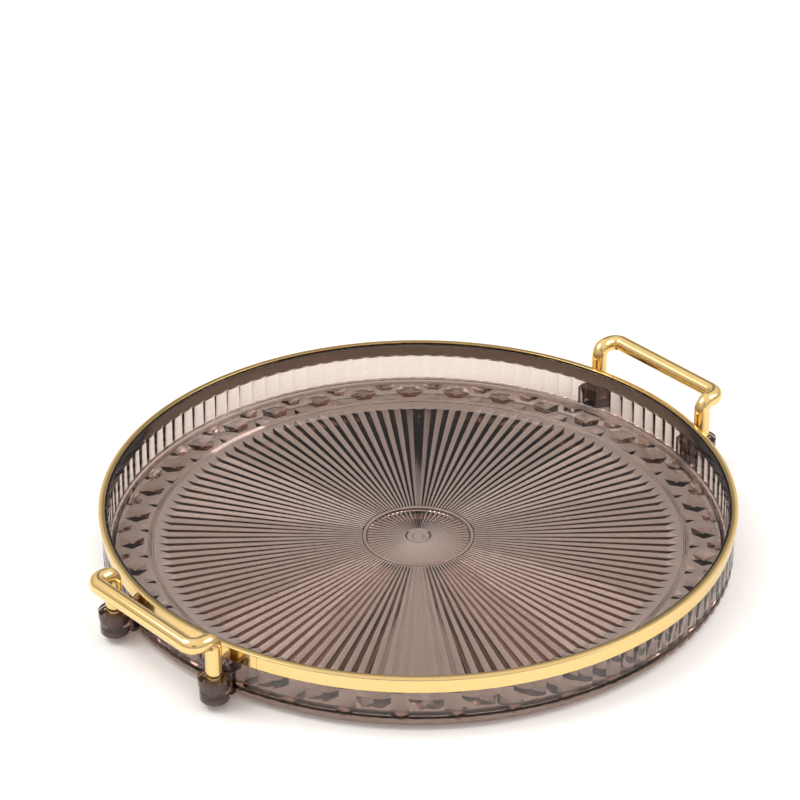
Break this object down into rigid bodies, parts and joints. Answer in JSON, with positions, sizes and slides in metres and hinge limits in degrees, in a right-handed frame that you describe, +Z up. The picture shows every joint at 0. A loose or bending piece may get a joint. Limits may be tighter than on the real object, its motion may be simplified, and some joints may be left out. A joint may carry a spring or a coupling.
{
  "type": "dresser vanity tray",
  "caption": "Round smoky clear tray with a fluted wall, a gold rim hoop and a raised gold bar handle at each end, for standing small things on a dresser.",
  "frame": {"origin": "centre of the tray, on the surface it stands on", "axes": "+X runs through the middle of the two handles, +Y runs along the handles' bars, +Z is up"},
  "size_m": [0.3598, 0.32, 0.0419],
  "materials": {
    "smoky_plastic": "glossy, translucent smoky brown-grey",
    "gold": "gold plated, mirror polished",
    "screw_steel": "zinc plated"
  },
  "bodies": {
    "root": {"tray_body": "smoky_plastic", "rim_band": "gold", "handle_right": "gold", "handle_left": "gold", "handle_screw_1": "screw_steel", "handle_screw_2": "screw_steel", "handle_screw_3": "screw_steel", "handle_screw_4": "screw_steel"}
  },
  "joints": []
}
